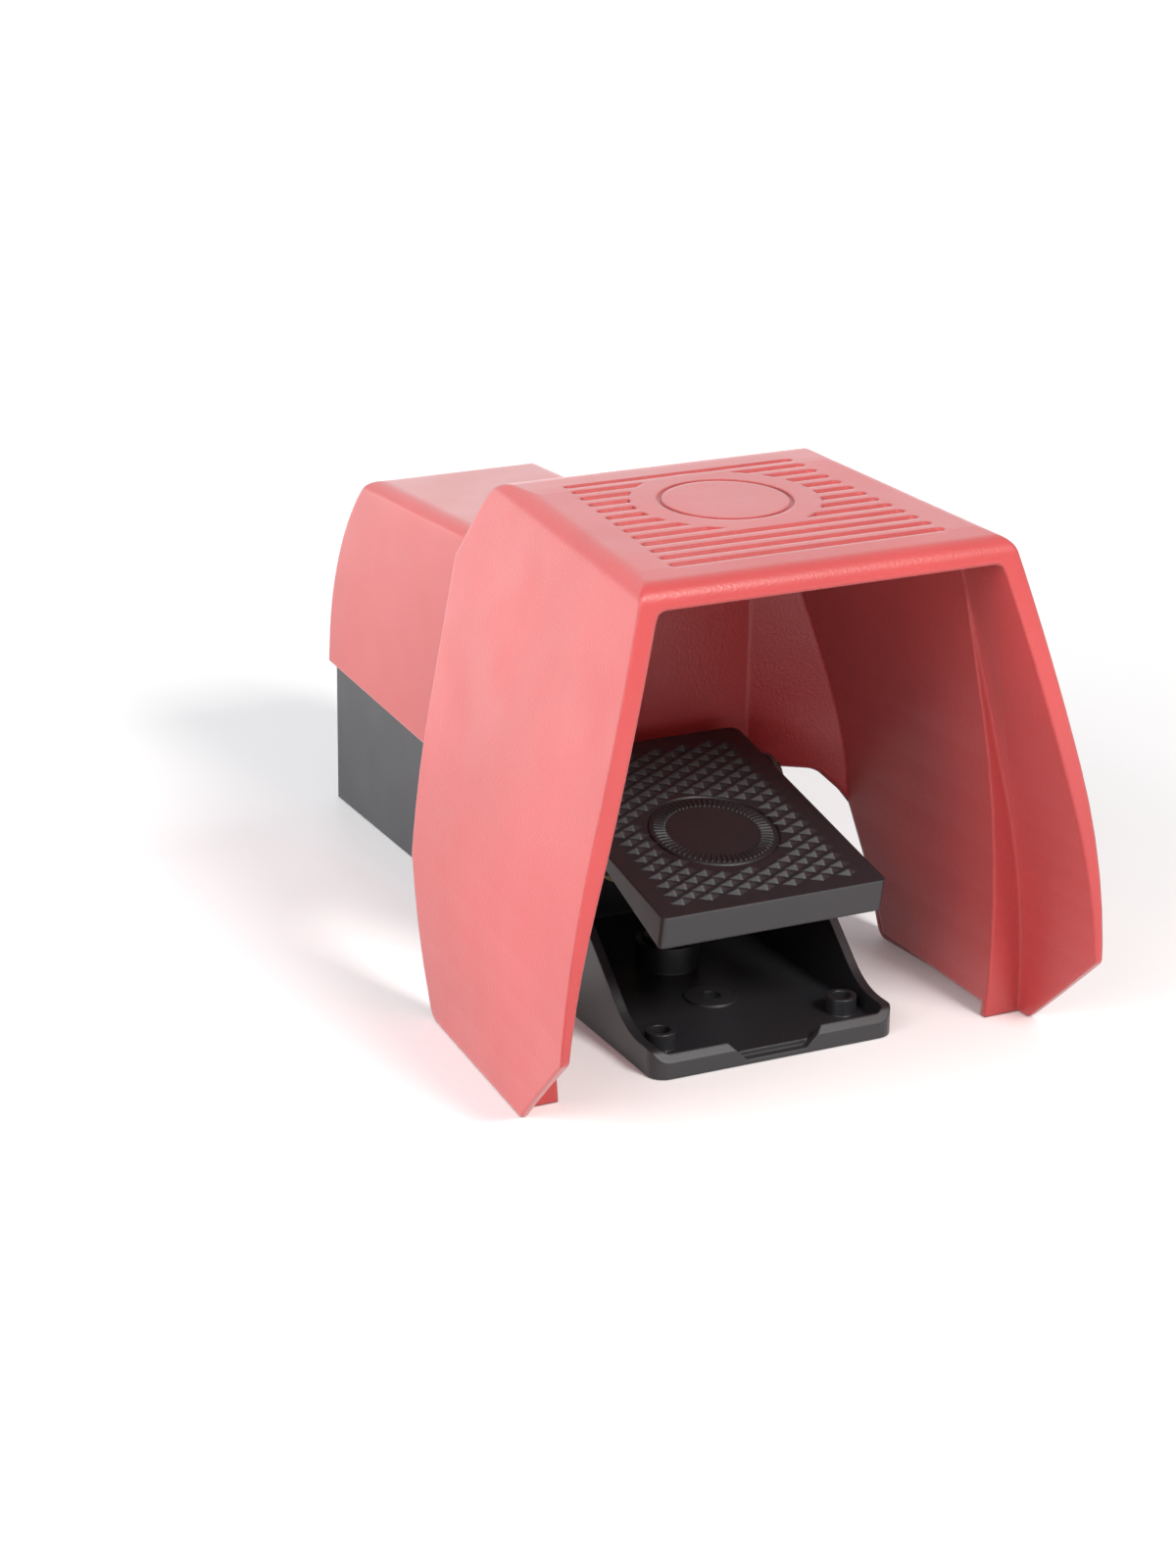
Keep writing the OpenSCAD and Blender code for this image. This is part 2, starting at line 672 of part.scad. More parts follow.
module stop_lugs() {
    for (s = [-1, 1]) across_from(s * buffer_x - lug_half, s * buffer_x + lug_half)
        polygon([[pivot_y - hub_r + 1, pivot_z], [pivot_y - 4, buffer_z - lug_half],
                 [pivot_y + lug_rear, buffer_z - lug_half], [pivot_y + lug_rear, pivot_z]]);
}
module spring_spigot() {
    intersection() {
        translate([0, spring_y, 0]) union() {
            translate([0, 0, spring_top_z]) cylinder(r = spring_r + 1.5, h = 30);
            translate([0, 0, spring_top_z - 4]) cylinder(r = spring_r - spring_wire - 0.4, h = 30);
        }
        plate_frame() translate([-far / 2, 0, -60]) cube([far, far, 59]);
    }
}
module pedal() {
    color([0.1, 0.1, 0.11]) in_frame() difference() {
        union() {
            plate_frame() difference() {
                pedal_plate();
                // thin ring round the bare disc of the tread
                translate([0, disc_y, -0.5]) difference() {
                    cylinder(r = disc_r, h = 2);
                    translate([0, 0, -1]) cylinder(r = disc_r - 1, h = 4);
                }
            }
            // hub under the rear of the plate
            translate([0, pivot_y, pivot_z]) rod_x(hub_r, -pedal_half, pedal_half);
            pedal_webs();
            push_arm();
            stop_lugs();
            spring_spigot();
        }
        translate([0, pivot_y, pivot_z]) rod_x(shaft_d / 2, -far, far);
    }
}
ear_out = tray_half + ear_boss;
clip_x = ear_out + bush_flange_t + 0.3;
shaft_end = clip_x + 2.2;
module pedal_shaft() {
    color([0.78, 0.79, 0.8]) in_frame() translate([0, pivot_y, pivot_z]) difference() {
        rod_x(shaft_d / 2 - 0.05, -shaft_end, shaft_end);
        for (s = [-1, 1]) translate([s * (clip_x + 0.5), 0, 0]) difference() {
            rod_x(shaft_d, -0.5, 0.5);
            rod_x(shaft_d / 2 - 0.8, -1, 1);
        }
    }
}
module shaft_clips() {
    color([0.55, 0.56, 0.58]) in_frame() translate([0, pivot_y, pivot_z])
        for (s = [-1, 1]) translate([s * (clip_x + 0.5), 0, 0]) difference() {
            rod_x(shaft_d / 2 + 2, -0.45, 0.45);
            rod_x(shaft_d / 2 - 0.75, -1, 1);
            translate([-1, -shaft_d / 2 + 1, 0]) cube([2, shaft_d - 2, 20]);
        }
}
module bush(side) {
    in_frame() translate([0, pivot_y, pivot_z]) mirror([side < 0 ? 1 : 0, 0, 0]) difference() {
        union() {
            rod_x(bush_r - 0.02, tray_in + 0.1, ear_out);
            rod_x(bush_flange_r, ear_out, ear_out + bush_flange_t);
        }
        rod_x(shaft_d / 2, -far, far);
    }
}
module bush_left() { color([0.9, 0.88, 0.8]) bush(-1); }
module bush_right() { color([0.9, 0.88, 0.8]) bush(1); }

// Round wire swept along a helix with closed end turns
spring_top_z = 42;
function wire_ring(p, dir, r, n) =
    let (side = unit([-dir[1], dir[0], 0]), up = cross(dir, side))
    [for (k = [0:n - 1]) p + r * (cos(360 * k / n) * side + sin(360 * k / n) * up)];
function climb(t, turns, height, wire) =
    let (dead = 1, pitch_dead = wire * 1.02, live = height - 2 * dead * pitch_dead)
    t < dead ? t * pitch_dead
    : t > turns - dead ? height - (turns - t) * pitch_dead
    : dead * pitch_dead + (t - dead) / (turns - 2 * dead) * live;
module coil(r, wire, z0, z1, turns, sides = 8, per_turn = 16) {
    steps = turns * per_turn;
    height = z1 - z0 - wire;
    path = [for (i = [0:steps]) let (t = i / per_turn)
        [r * cos(360 * t), r * sin(360 * t), z0 + wire / 2 + climb(t, turns, height, wire)]];
    rings = [for (i = [0:steps])
        let (a = path[max(i - 1, 0)], b = path[min(i + 1, steps)])
        wire_ring(path[i], unit(b - a), wire / 2, sides)];
    points = [for (ring = rings) for (p = ring) p];
    polyhedron(points, concat(
        [[for (k = [0:sides - 1]) k]],
        [for (i = [0:steps - 1]) for (k = [0:sides - 1])
            let (m = (k + 1) % sides, a = i * sides, b = a + sides) [a + m, a + k, b + k, b + m]],
        [[for (k = [sides - 1:-1:0]) steps * sides + k]]));
}
module return_spring() {
    color([0.7, 0.72, 0.74]) in_frame() translate([0, spring_y, 0])
        coil(spring_r - spring_wire / 2, spring_wire, spring_seat_z + 0.1, spring_top_z - 0.1, 8);
}

// ---------------------------------------------------------------- plunger and stops
nose_y = pivot_y + nose_r;
head_y = nose_y + tip_gap;
head_t = 2.7;
stroke = plunger_drop * pedal_travel * PI / 180;
guide_y0 = head_y + head_t + stroke + 0.6;
guide_len = 14;
slide_y = block_y0 + 8;
module stop_buffers() {
    // struck by the stop lugs at the end of the travel
    deep = pivot_z - buffer_z + lug_half;
    reach = pivot_y + lug_rear * cos(pedal_travel) + deep * sin(pedal_travel) + stop_gap;
    color([0.08, 0.08, 0.08]) in_frame() buffer_spots() {
        rod_y(5, reach, box_front);
        rod_y(buffer_stem_r - 0.05, box_front - 1, box_front + base_wall + 1.4);
        rod_y(buffer_stem_r + 0.7, box_front + base_wall, box_front + base_wall + 1.4);
    }
}
module plunger() {
    color([0.8, 0.8, 0.82]) in_frame() translate([0, 0, plunger_z]) {
        rod_y(6, head_y, head_y + head_t);
        rod_y(plunger_d / 2 - 0.05, head_y + 1, slide_y);
    }
}
module plunger_guide() {
    color([0.75, 0.65, 0.4]) in_frame() translate([0, 0, plunger_z]) difference() {
        union() {
            rod_y(guide_r + 2, guide_y0, box_front);
            rod_y(guide_r - 0.02, box_front - 1, box_front + guide_len);
        }
        rod_y(plunger_d / 2, -far, far);
        translate([0, box_front + 6, 0]) rod_y(plunger_d / 2 + 1.6, 0, 2.2);
    }
}
module guide_nut() {
    rear = box_front + base_wall + 3;
    color([0.72, 0.73, 0.75]) in_frame() translate([0, rear, plunger_z]) rotate([90, 0, 0]) difference() {
        cylinder(r = guide_r + 3, h = 3, $fn = 6);
        translate([0, 0, -1]) cylinder(r = guide_r, h = 5);
    }
}
module plunger_ring() {
    color([0.06, 0.06, 0.06]) in_frame() translate([0, box_front + 7.1, plunger_z]) rotate([90, 0, 0])
        rotate_extrude() translate([plunger_d / 2 + 0.8, 0]) circle(r = 0.75, $fn = 24);
}

// ---------------------------------------------------------------- contact insert
sheet_t = 1.5;
block_z0 = plate_z0 + sheet_t;
block_h = 30;
block_wall = 2.4;
lid_t = 2.5;
block_y1 = block_y0 + block_len;
slide_w = 12;
slide_len = 30;
bridge_t = 0.8;
bridge_y = [slide_y + 7, slide_y + 19];
tip_t = 0.7;
contact_gap = stroke + tip_t + 0.15;  // open distance between a bridge and its fixed contact
module mounting_plate() {
    color([0.72, 0.73, 0.75]) in_frame() difference() {
        translate([-plate_screw_x - 4, insert_y0 - 1, plate_z0])
            cube([2 * plate_screw_x + 8, plate_y1 - insert_y0 + 2, sheet_t]);
        plate_spots() cylinder(r = 1.7, h = far);
    }
}
module plate_screws() {
    color([0.78, 0.78, 0.8]) in_frame()
        plate_spots() translate([0, 0, plate_z0 + sheet_t]) screw(sheet_t + 3.2, 1.2, 2.6, 2);
}
module contact_housing() {
    color([0.85, 0.85, 0.82]) in_frame() difference() {
        translate([-block_w / 2, block_y0, block_z0]) cube([block_w, block_len, block_h]);
        translate([-block_w / 2 + block_wall, block_y0 + block_wall, block_z0 + block_wall])
            cube([block_w - 2 * block_wall, block_len - 2 * block_wall, block_h]);
        translate([0, 0, plunger_z]) rod_y(plunger_d / 2 + 0.3, block_y0 - 1, block_y0 + block_wall + 1);
        // slots for the fixed contacts
        for (s = [-1, 1]) for (y = bridge_y)
            translate([s * block_w / 2 - 4, y + bridge_t + contact_gap - 0.05, plunger_z - 2.05])
                cube([8, bridge_t + 0.1, 4.1]);
    }
}
module contact_lid() {
    color([0.25, 0.35, 0.6]) in_frame() difference() {
        translate([-block_w / 2, block_y0, block_z0 + block_h]) cube([block_w, block_len, lid_t]);
        for (s = [-1, 1]) for (y = bridge_y)
            translate([s * (block_w / 2 - 5), y + contact_gap + 1, 0]) cylinder(r = 2.6, h = far);
    }
}
module contact_slide() {
    color([0.9, 0.3, 0.2]) in_frame() difference() {
        translate([-slide_w / 2, slide_y, plunger_z - slide_w / 2]) cube([slide_w, slide_len, slide_w]);
        for (y = bridge_y) translate([-slide_w, y - 0.05, plunger_z - 2.1])
            cube([2 * slide_w, bridge_t + 0.1, 4.2]);
        translate([0, 0, plunger_z]) rod_y(3.4, slide_y + slide_len - 6, slide_y + slide_len + 1);
    }
}
module bridge_contacts() {
    color([0.8, 0.62, 0.3]) in_frame() for (y = bridge_y) {
        translate([-block_w / 2 + block_wall + 1, y, plunger_z - 2])
            cube([block_w - 2 * block_wall - 2, bridge_t, 4]);
        for (s = [-1, 1]) translate([s * (block_w / 2 - block_wall - 3.2), y + bridge_t, plunger_z])
            rod_y(1.4, 0, tip_t);
    }
}
tab_t = 1.2;
tab_x = block_w / 2 + 3.5;
module terminal_spots() {
    for (s = [-1, 1]) for (y = bridge_y)
        translate([s * tab_x, y + bridge_t + contact_gap - 2.1, plunger_z - 2]) children();
}
module fixed_contacts() {
    color([0.82, 0.64, 0.32]) in_frame() difference() {
        union() {
            for (s = [0, 1]) mirror([s, 0, 0]) for (y = bridge_y)
                translate([block_w / 2 - block_wall - 4.6, y + bridge_t + contact_gap, plunger_z - 2])
                    cube([block_wall + 10.6, bridge_t, 4]);
            terminal_spots() translate([-2.5, -4, 0]) cube([5, 8, tab_t]);
        }
        terminal_spots() cylinder(r = 0.95, h = far);
    }
}
module terminal_screws() {
    color([0.8, 0.8, 0.82]) in_frame()
        terminal_spots() translate([0, 0, tab_t]) screw(tab_t + 0.4, 0.9, 1.9, 1.5);
}
module slide_spring() {
    seat_y = slide_y + slide_len - 6;
    color([0.7, 0.72, 0.74]) in_frame() translate([0, seat_y, plunger_z]) rotate([-90, 0, 0])
        coil(2.4, 0.8, 0.1, block_y1 - block_wall - seat_y - 0.1, 7, 6, 12);
}
module earth_terminal() {
    color([0.4, 0.7, 0.35]) in_frame() translate([0, earth_y, floor_t + 5]) {
        difference() {
            translate([-5, -5, 0]) cube([10, 10, 1.6]);
            translate([0, 0, -1]) cylinder(r = 1.7, h = 5);
        }
        translate([0, 0, 1.6]) screw(6, 1.6, 3.2, 2.2);
    }
}

// ---------------------------------------------------------------- spare cable entry
module entry_plug() {
    color([0.1, 0.1, 0.11]) in_frame() translate([-entry_pitch / 2, 0, entry_z]) difference() {
        union() {
            rod_y(entry_d / 2 - 0.05, base_len - entry_len + 2, base_len);
            rod_y(entry_d / 2 + 1.8, base_len, base_len + 1.3);
        }
        rod_y(entry_d / 2 - 2, base_len - entry_len, base_len - 2);
        translate([-5, base_len + 0.5, -0.8]) cube([10, 2, 1.6]);
        difference() {
            rod_y(entry_d, base_len - 2.2, base_len - 0.6);
            rod_y(entry_d / 2 - 0.8, base_len - 3, base_len);
        }
    }
}
module plug_ring() {
    color([0.06, 0.06, 0.06]) in_frame() translate([-entry_pitch / 2, base_len - 1.4, entry_z])
        rotate([90, 0, 0]) rotate_extrude() translate([entry_d / 2 - 0.4, 0]) circle(r = 0.35, $fn = 24);
}

base();
rear_cover();
cover_gasket();
cover_screws();
guard_hood();
hood_screws();
pedal();
pedal_shaft();
shaft_clips();
bush_left();
bush_right();
return_spring();
stop_buffers();
plunger();
plunger_guide();
guide_nut();
plunger_ring();
mounting_plate();
plate_screws();
contact_housing();
contact_lid();
contact_slide();
bridge_contacts();
fixed_contacts();
terminal_screws();
slide_spring();
earth_terminal();
entry_plug();
plug_ring();
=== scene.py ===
"""Looks of a guarded industrial foot switch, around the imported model."""
import math

import bpy
from mathutils import Euler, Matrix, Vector


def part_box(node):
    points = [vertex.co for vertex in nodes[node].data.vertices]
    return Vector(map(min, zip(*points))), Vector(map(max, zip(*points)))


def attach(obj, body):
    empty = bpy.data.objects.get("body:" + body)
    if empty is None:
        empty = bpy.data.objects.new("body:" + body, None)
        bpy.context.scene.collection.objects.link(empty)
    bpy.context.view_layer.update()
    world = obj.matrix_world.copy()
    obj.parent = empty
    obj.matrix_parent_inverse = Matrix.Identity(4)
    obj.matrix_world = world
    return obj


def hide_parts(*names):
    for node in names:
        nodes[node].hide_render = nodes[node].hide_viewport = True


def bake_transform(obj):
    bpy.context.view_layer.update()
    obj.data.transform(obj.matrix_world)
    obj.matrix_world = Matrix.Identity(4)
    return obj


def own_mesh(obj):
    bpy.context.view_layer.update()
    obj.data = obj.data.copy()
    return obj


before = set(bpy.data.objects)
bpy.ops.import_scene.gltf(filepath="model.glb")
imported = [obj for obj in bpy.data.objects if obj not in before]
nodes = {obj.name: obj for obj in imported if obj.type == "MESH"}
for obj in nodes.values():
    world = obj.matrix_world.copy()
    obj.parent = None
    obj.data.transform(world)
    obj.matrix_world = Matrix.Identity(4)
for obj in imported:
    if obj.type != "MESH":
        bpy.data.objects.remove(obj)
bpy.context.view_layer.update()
scene = bpy.context.scene

MM = 0.001


# ------------------------------------------------------------------ camera
def make_camera():
    """A long lens from the front left, above the hood."""
    data = bpy.data.cameras.new("camera")
    data.sensor_width = 36.0
    data.lens = 87.25
    data.clip_start = 0.05
    data.clip_end = 20.0
    camera = bpy.data.objects.new("camera", data)
    camera.location = (-0.4713, -0.9355, 0.4328)
    azimuth, elevation, roll = map(math.radians, (-26.40, 20.32, 0.70))
    camera.rotation_euler = (Euler((math.pi / 2 - elevation, 0, azimuth), "XYZ").to_matrix()
                             @ Euler((0, 0, roll), "XYZ").to_matrix()).to_euler()
    scene.collection.objects.link(camera)
    scene.camera = camera


# ------------------------------------------------------------------ materials
class Nodes:
    """Short names for building one material's node tree."""

    COLOR_A, COLOR_B, COLOR_RESULT = 6, 7, 2    # the colour sockets of a Mix node
    FLAT, SHARP = 0.97, 0.75                    # cosines where an edge begins and where it is full

    def __init__(self, name):
        self.material = bpy.data.materials.new(name)
        self.material.use_nodes = True
        self.tree = self.material.node_tree
        self.shader = self.tree.nodes["Principled BSDF"]
        geometry = self.add("ShaderNodeNewGeometry")
        self.place = geometry.outputs["Position"]
        self.normal = geometry.outputs["Normal"]

    def add(self, kind, **settings):
        """A new node; a setting names one of its inputs, or else one of its properties."""
        node = self.tree.nodes.new(kind)
        for key, value in settings.items():
            if key in node.inputs:
                node.inputs[key].default_value = value
            else:
                setattr(node, key, value)
        return node

    def link(self, source, target):
        self.tree.links.new(source, target)

    def noise(self, scale, detail=3.0, place=None):
        """Noise from 0 to 1 in space; scale is about the number of spots to a metre."""
        node = self.add("ShaderNodeTexNoise", Scale=scale, Detail=detail)
        self.link(place or self.place, node.inputs["Vector"])
        return node.outputs["Fac"]

    def span(self, source, low, high, to_low=0.0, to_high=1.0):
        """Turn low to high into to_low to to_high, with nothing beyond the two ends."""
        ends = {"From Min": low, "From Max": high, "To Min": to_low, "To Max": to_high}
        node = self.add("ShaderNodeMapRange", **ends)
        self.link(source, node.inputs["Value"])
        return node.outputs["Result"]

    def blend(self, factor, first, second):
        """Mix two colours, given as numbers or as sockets."""
        mix = self.add("ShaderNodeMix", data_type="RGBA")
        self.link(factor, mix.inputs["Factor"])
        for index, color in ((self.COLOR_A, first), (self.COLOR_B, second)):
            if isinstance(color, tuple):
                mix.inputs[index].default_value = (*color, 1)
            else:
                self.link(color, mix.inputs[index])
        return mix.outputs[self.COLOR_RESULT]

    def soft_edges(self, radius):
        """Rounded normals, and a mask from 0 on flat places to 1 on edges."""
        bevel = self.add("ShaderNodeBevel", samples=6, Radius=radius)
        turn = self.add("ShaderNodeVectorMath", operation="DOT_PRODUCT")
        self.link(bevel.outputs["Normal"], turn.inputs[0])
        self.link(self.normal, turn.inputs[1])
        return bevel.outputs["Normal"], self.span(turn.outputs["Value"], self.FLAT, self.SHARP)

    def bump(self, source, strength, distance, normal=None):
        """Normals of a relief, on top of the given normals."""
        node = self.add("ShaderNodeBump", Strength=strength, Distance=distance)
        self.link(source, node.inputs["Height"])
        if normal is not None:
            self.link(normal, node.inputs["Normal"])
        return node.outputs["Normal"]


def linear(*display):
    """A display colour, from 0 to 255, as linear light."""
    return tuple(((c / 255 + 0.055) / 1.055) ** 2.4 if c > 10 else c / 255 / 12.92 for c in display)


def shade(color, factor):
    return tuple(min(1.0, factor * c) for c in color)


def moulded(name, color, rough, edge=0.0, grain=900.0, depth=0.15, wear_and_highlight=0.0, haze=0.0):
    """Moulded plastic: sparked grain, slightly uneven colour and gloss, softened edges, and edges
    tinted pale, partly as rubbed wear and partly as a painted highlight.

    edge is the radius of the edges, grain and depth the scale and strength of the sparked
    surface, wear_and_highlight how far the edges are tinted pale (partly rubbed wear, partly a
    painted highlight), and haze the pale sheen over all of it.
    """
    tint_scale, gloss_scale, wear_and_highlight_scale = 16.0, 45.0, 260.0
    gloss_change, relief = 0.04, 0.12 * MM
    n = Nodes(name)
    tint = n.blend(n.span(n.noise(tint_scale), 0.35, 0.65), shade(color, 0.93), shade(color, 1.04))
    gloss = n.span(n.noise(gloss_scale), 0.3, 0.7, rough - gloss_change, rough + gloss_change)
    normal = None
    if edge:
        normal, turn = n.soft_edges(edge)
        if wear_and_highlight:
            # pale edges in patches: partly rubbed wear, partly a painted highlight where light
            # catches the edges
            wear_and_highlight_mask = n.add("ShaderNodeMath", operation="MULTIPLY")
            n.link(turn, wear_and_highlight_mask.inputs[0])
            n.link(n.span(n.noise(wear_and_highlight_scale), 0.4, 0.7, 0.0, wear_and_highlight), wear_and_highlight_mask.inputs[1])
            tint = n.blend(wear_and_highlight_mask.outputs[0], tint, shade(color, 1.6))
    n.link(tint, n.shader.inputs["Base Color"])
    n.link(gloss, n.shader.inputs["Roughness"])
    n.shader.inputs["Sheen Weight"].default_value = haze
    n.shader.inputs["Sheen Roughness"].default_value = 0.45
    n.link(n.bump(n.noise(grain, 2.0), depth, relief, normal), n.shader.inputs["Normal"])
    return n.material


def metal(name, color, rough, stretch=(1, 1, 1)):
    """Turned or drawn metal: fine lines in its gloss and relief, and a patchy tone.

    stretch below 1 on one axis draws the lines out along it.
    """
    line_scale, line_depth, relief = 1500.0, 0.1, 0.2 * MM
    patch_scale = 30.0
    n = Nodes(name)
    drawn = n.add("ShaderNodeVectorMath", operation="MULTIPLY")
    drawn.inputs[1].default_value = stretch
    n.link(n.place, drawn.inputs[0])
    lines = n.noise(line_scale, 2.0, drawn.outputs[0])
    patches = n.span(n.noise(patch_scale), 0.3, 0.7)
    n.shader.inputs["Metallic"].default_value = 1.0
    n.link(n.blend(patches, shade(color, 0.85), color), n.shader.inputs["Base Color"])
    n.link(n.span(lines, 0.3, 0.7, rough * 0.8, rough * 1.25), n.shader.inputs["Roughness"])
    n.link(n.bump(lines, line_depth, relief), n.shader.inputs["Normal"])
    return n.material


def dress(material, *names):
    """Give CAD nodes one material all over."""
    for name in names:
        mesh = nodes[name].data
        mesh.materials.clear()
        mesh.materials.append(material)
        for polygon in mesh.polygons:
            polygon.material_index = 0


# base colours in linear light, and the axes along which metals are drawn or turned
RED = (0.44, 0.040, 0.040)
BLACK = linear(38, 38, 41)
STEEL = (0.72, 0.73, 0.75)
ALONG_X, ALONG_Y = (0.05, 1, 1), (1, 0.05, 1)

hood_plastic = moulded("hood_plastic", RED, 0.36, edge=1.6 * MM, grain=1300.0, depth=0.6,
                       wear_and_highlight=0.35, haze=0.25)
cover_plastic = moulded("cover_plastic", RED, 0.36, edge=0.9 * MM, depth=0.1, wear_and_highlight=0.2, haze=0.4)
black_plastic = moulded("black_plastic", BLACK, 0.4, edge=0.7 * MM, grain=1100.0)
pedal_plastic = moulded("pedal_plastic", BLACK, 0.42, edge=0.9 * MM, grain=1400.0)
rubber = moulded("rubber", linear(30, 30, 30), 0.68)
bush_plastic = moulded("bush_plastic", linear(84, 82, 78), 0.45)
block_plastic = moulded("block_plastic", linear(215, 215, 210), 0.45)
lid_plastic = moulded("lid_plastic", linear(70, 90, 140), 0.35)
slide_plastic = moulded("slide_plastic", linear(205, 80, 60), 0.45)
steel = metal("steel", STEEL, 0.28, ALONG_X)
plunger_steel = metal("plunger_steel", STEEL, 0.22, ALONG_Y)
spring_steel = metal("spring_steel", (0.16, 0.16, 0.17), 0.35)
zinc = metal("zinc", (0.66, 0.67, 0.70), 0.35)
bronze = metal("bronze", (0.66, 0.50, 0.28), 0.35, ALONG_Y)
contact_brass = metal("contact_brass", (0.78, 0.60, 0.30), 0.3)

dress(hood_plastic, "guard_hood")
dress(cover_plastic, "rear_cover")
dress(black_plastic, "base", "entry_plug")
dress(pedal_plastic, "pedal")
dress(rubber, "stop_buffers", "cover_gasket", "plunger_ring", "plug_ring")
dress(bush_plastic, "bush_left", "bush_right")
dress(block_plastic, "contact_housing")
dress(lid_plastic, "contact_lid")
dress(slide_plastic, "contact_slide")
dress(steel, "pedal_shaft", "mounting_plate")
dress(plunger_steel, "plunger")
dress(spring_steel, "shaft_clips", "return_spring", "slide_spring")
dress(zinc, "cover_screws", "hood_screws", "plate_screws", "terminal_screws", "guide_nut")
dress(bronze, "plunger_guide")
dress(contact_brass, "bridge_contacts", "fixed_contacts", "earth_terminal")


# ------------------------------------------------------------------ pieces
# the pedal's tread, which slopes up to the rear; places along it are from its front edge
TREAD_LENGTH, TREAD_TILT = 90 * MM, math.radians(10.5)
BORDER = 6.8 * MM                           # plain edge round the studs
DISC_AT, DISC_RADIUS = 38 * MM, 20.5 * MM   # the bare disc
PITCH_X, PITCH_Y = 8.6 * MM, 4.6 * MM       # studs side by side, and one behind the other
STUD_X, STUD_Y = 3.7 * MM, 1.95 * MM        # half diagonals of a stud's foot
STUD_HEIGHT, STUD_TIP = 1.3 * MM, 0.12      # the tip's width is a share of the foot's
RIBS, RIB_HEIGHT = 64, 0.45 * MM            # the knurled ring on the disc
RING_IN, RING_OUT = 13.2 * MM, 17.2 * MM
RIB_FOOT, RIB_TOP = 0.45 * MM, 0.15 * MM    # half widths of a rib
RIB_SLOPE = 0.3 * MM                        # how far a rib's ends lean in
SUNK = 0.4 * MM                             # how deep studs and ribs stand in the tread

pedal_low, pedal_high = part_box("pedal")
tread_front_y = pedal_low[1]
tread_front_z = pedal_high[2] - TREAD_LENGTH * math.sin(TREAD_TILT)


def mesh_piece(name, points, faces, material, smooth=False):
    """A new object of the scene from points and faces."""
    mesh = bpy.data.meshes.new(name)
    mesh.from_pydata(points, [], faces)
    mesh.materials.append(material)
    for polygon in mesh.polygons:
        polygon.use_smooth = smooth
    piece = bpy.data.objects.new(name, mesh)
    scene.collection.objects.link(piece)
    return piece


def join_solids(solids):
    """Several solids' points and faces as one list of each."""
    points, faces = [], []
    for own_points, own_faces in solids:
        first = len(points)
        points += own_points
        faces += [[first + corner for corner in face] for face in own_faces]
    return points, faces


def on_tread(x, along, lift):
    """A point over the tread: so far along it from its front edge, and lifted square to it."""
    rise, run = math.sin(TREAD_TILT), math.cos(TREAD_TILT)
    return (x, tread_front_y + along * run - lift * rise, tread_front_z + along * rise + lift * run)


def stud(x, along):
    """A rhombic pyramid with a blunt tip and a short straight foot."""
    points = [on_tread(x + dx * share * STUD_X, along + dy * share * STUD_Y, lift)
              for share, lift in ((1.0, -SUNK), (1.0, 0), (STUD_TIP, STUD_HEIGHT))
              for dx, dy in ((1, 0), (0, 1), (-1, 0), (0, -1))]
    sides = []
    for ring in (0, 4):
        for k in range(4):
            m = (k + 1) % 4
            sides.append([ring + k, ring + m, ring + 4 + m, ring + 4 + k])
    return points, [[3, 2, 1, 0], *sides, [8, 9, 10, 11]]


def ring_rib(turn):
    """A rib of the knurled ring, which points out from the disc's middle and narrows to its top."""
    points = []
    for reach, half, lift in ((RING_IN, RIB_FOOT, -SUNK), (RING_OUT, RIB_FOOT, -SUNK),
                              (RING_IN, RIB_FOOT, 0), (RING_OUT, RIB_FOOT, 0),
                              (RING_IN + RIB_SLOPE, RIB_TOP, RIB_HEIGHT),
                              (RING_OUT - RIB_SLOPE, RIB_TOP, RIB_HEIGHT)):
        for spread in (-half, half):
            x = reach * math.cos(turn) - spread * math.sin(turn)
            along = DISC_AT + reach * math.sin(turn) + spread * math.cos(turn)
            points.append(on_tread(x, along, lift))
    bottom, top = [0, 1, 3, 2], [8, 10, 11, 9]
    foot = [[0, 2, 6, 4], [1, 5, 7, 3], [0, 4, 5, 1], [2, 3, 7, 6]]
    slopes = [[4, 6, 10, 8], [5, 9, 11, 7], [4, 8, 9, 5], [6, 7, 11, 10]]
    return points, [bottom, *foot, *slopes, top]


def make_studs():
    """Staggered studs over the tread, round a bare disc that carries a knurled ring."""
    solids = []
    rows = int((TREAD_LENGTH - 2 * BORDER) / (PITCH_Y / 2))
    columns = int((pedal_high[0] - BORDER) / PITCH_X)
    last_x = columns * PITCH_X + 0.1 * MM
    for row in range(rows + 1):
        along = BORDER + row * PITCH_Y / 2
        shift = 0.5 * (row % 2)
        for column in range(-columns, columns + 1):
            x = (column + shift) * PITCH_X
            if abs(x) <= last_x and math.hypot(x, along - DISC_AT) >= DISC_RADIUS:
                solids.append(stud(x, along))
    solids += [ring_rib(2 * math.pi * rib / RIBS) for rib in range(RIBS)]
    studs = mesh_piece("tread_studs", *join_solids(solids), pedal_plastic)
    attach(studs, "pedal")


